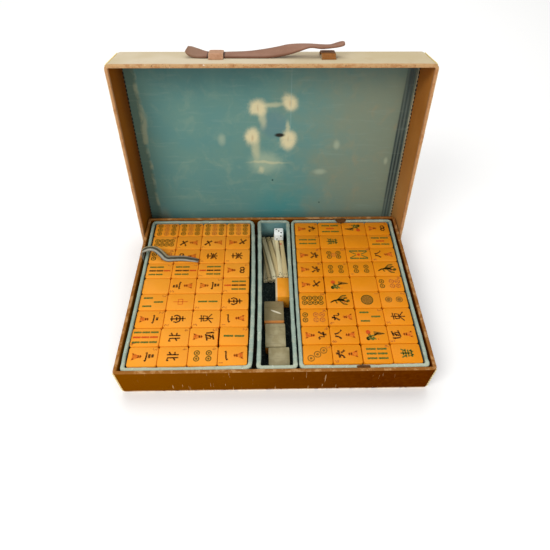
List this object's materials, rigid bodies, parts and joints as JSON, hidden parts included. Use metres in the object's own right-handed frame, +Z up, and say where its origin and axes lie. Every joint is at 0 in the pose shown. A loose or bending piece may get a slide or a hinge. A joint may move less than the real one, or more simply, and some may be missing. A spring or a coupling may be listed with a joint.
{
  "type": "mahjong case",
  "caption": "Leather-covered board case with a lid swinging on side rivets, cloth-lined lift-out trays of tiles, sticks and a die, and a strap handle.",
  "frame": {"origin": "middle of the base's underside, on the surface that the case stands on", "axes": "+X across the case to the right, +Y from its front to its back, +Z up; the lid stands open at the back"},
  "size_m": [0.3316, 0.2794, 0.2508],
  "materials": {
    "brown_leather": "worn brown leather, scuffed at its edges",
    "faded_leather": "leather faded to beige, brown at its edges",
    "pasteboard": "plain pasteboard",
    "inner_leather": "thin brown leather",
    "base_paper": "brown paper",
    "teal_paper": "stained teal lining",
    "rivet_brass": "dulled brass",
    "keeper_leather": "tan leather",
    "strap_leather": "dry mauve-brown leather",
    "tray_card": "card",
    "tray_cloth": "grey-green cloth",
    "amber_resin": "polished amber resin",
    "grey_backed_resin": "amber resin with dulled grey backs",
    "bone": "bone",
    "die_bone": "white bone",
    "ribbon": "grey-green ribbon",
    "tab_leather": "dark brown leather"
  },
  "bodies": {
    "base": {"base_back_board": "pasteboard", "base_back_leather": "brown_leather", "base_bottom_leather": "brown_leather", "base_floor_board": "pasteboard", "base_front_board": "pasteboard", "base_front_leather": "brown_leather", "base_left_board": "pasteboard", "base_left_leather": "brown_leather", "base_lining": "base_paper", "base_right_board": "pasteboard", "base_right_leather": "brown_leather", "pivot_burrs": "rivet_brass", "pivot_rivets": "rivet_brass", "pivot_washers": "rivet_brass"},
    "lid": {"handle_keeper_left": "keeper_leather", "handle_keeper_right": "keeper_leather", "lid_front_board": "pasteboard", "lid_front_facing": "inner_leather", "lid_front_leather": "faded_leather", "lid_left_board": "pasteboard", "lid_left_facing": "inner_leather", "lid_left_leather": "faded_leather", "lid_lining": "teal_paper", "lid_rear_apron": "faded_leather", "lid_right_board": "pasteboard", "lid_right_facing": "inner_leather", "lid_right_leather": "faded_leather", "lid_top_board": "pasteboard", "lid_top_leather": "faded_leather"},
    "handle": {"handle_strap": "strap_leather"},
    "left_tray": {"left_tiles_lower": "amber_resin", "left_tiles_upper": "amber_resin", "left_tray_card": "tray_card", "left_tray_cloth": "tray_cloth", "left_tray_ribbon": "ribbon", "left_tray_rim": "tray_cloth"},
    "right_tray": {"right_tiles_lower": "amber_resin", "right_tiles_upper": "amber_resin", "right_tray_card": "tray_card", "right_tray_cloth": "tray_cloth", "right_tray_rim": "tray_cloth", "right_tray_tabs": "tab_leather"},
    "centre_tray": {"centre_tray_card": "tray_card", "centre_tray_cloth": "tray_cloth", "centre_tray_rim": "tray_cloth", "die": "die_bone", "grey_backed_tiles": "grey_backed_resin", "spare_tile": "amber_resin", "tally_sticks": "bone"}
  },
  "joints": [
    {"name": "lid_hinge", "type": "hinge", "parent": "base", "child": "lid", "pos_m": [0, 0.0979, 0.02042], "axis": [-1, 0, 0], "range_deg": [-100.5, 0]},
    {"name": "handle_slide", "type": "slide", "parent": "lid", "child": "handle", "axis": [1, 0, 0], "range_m": [-0.008, 0.001]},
    {"name": "left_tray_lift", "type": "slide", "parent": "base", "child": "left_tray", "axis": [0, 0, 1], "range_m": [0, 0.06]},
    {"name": "centre_tray_lift", "type": "slide", "parent": "base", "child": "centre_tray", "axis": [0, 0, 1], "range_m": [0, 0.06]},
    {"name": "right_tray_lift", "type": "slide", "parent": "base", "child": "right_tray", "axis": [0, 0, 1], "range_m": [0, 0.06]}
  ]
}
